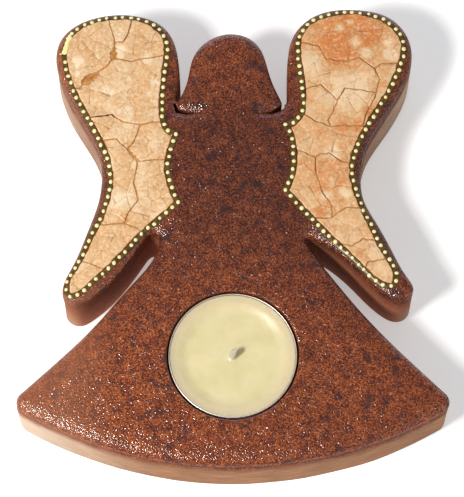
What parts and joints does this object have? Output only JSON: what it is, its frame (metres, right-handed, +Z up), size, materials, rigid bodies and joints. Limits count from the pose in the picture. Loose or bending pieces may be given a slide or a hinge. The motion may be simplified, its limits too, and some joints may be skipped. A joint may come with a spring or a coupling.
{
  "type": "clay angel tea light holder",
  "caption": "Flat fired-clay angel that lies on a table and holds a tea light in its robe, with eggshell mosaic wings edged in raised paint dots.",
  "frame": {"origin": "on the surface the slab lies on, under the middle of its bounding box", "axes": "+Y from the hem to the head, +X to the viewer's right, +Z up, out of the decorated face"},
  "size_m": [0.128, 0.1442, 0.0268],
  "materials": {
    "lacquered_clay": "flecked reddish brown clay under glossy lacquer, bare tan clay on the outer walls",
    "amber_glue": "hardened amber glue and stain under the eggshell",
    "eggshell": "crazed beige and peach eggshell under clear lacquer",
    "dot_paint": "pale yellow relief paint, semi-gloss",
    "cup_foil": "thin drawn foil, satin",
    "candle_wax": "ivory wax, soft sheen, translucent",
    "wick_cotton": "waxed cotton",
    "sustainer_steel": "tinned steel"
  },
  "bodies": {
    "holder": {"clay_body": "lacquered_clay", "left_dots": "dot_paint", "left_inlay_bed": "amber_glue", "left_shell_01": "eggshell", "left_shell_02": "eggshell", "left_shell_03": "eggshell", "left_shell_04": "eggshell", "left_shell_05": "eggshell", "left_shell_06": "eggshell", "left_shell_07": "eggshell", "left_shell_08": "eggshell", "left_shell_09": "eggshell", "left_shell_10": "eggshell", "right_dots": "dot_paint", "right_inlay_bed": "amber_glue", "right_shell_01": "eggshell", "right_shell_02": "eggshell", "right_shell_03": "eggshell", "right_shell_04": "eggshell", "right_shell_05": "eggshell", "right_shell_06": "eggshell", "right_shell_07": "eggshell", "right_shell_08": "eggshell", "right_shell_09": "eggshell", "right_shell_10": "eggshell", "right_shell_11": "eggshell"},
    "tealight_cup": {"tealight_cup": "cup_foil"},
    "candle": {"wax": "candle_wax", "wick": "wick_cotton", "wick_sustainer": "sustainer_steel"}
  },
  "joints": [
    {"name": "cup_lift", "type": "slide", "parent": "holder", "child": "tealight_cup", "axis": [0, 0, 1], "range_m": [0, 0.03]},
    {"name": "wax_lift", "type": "slide", "parent": "tealight_cup", "child": "candle", "axis": [0, 0, 1], "range_m": [0, 0.02]}
  ]
}
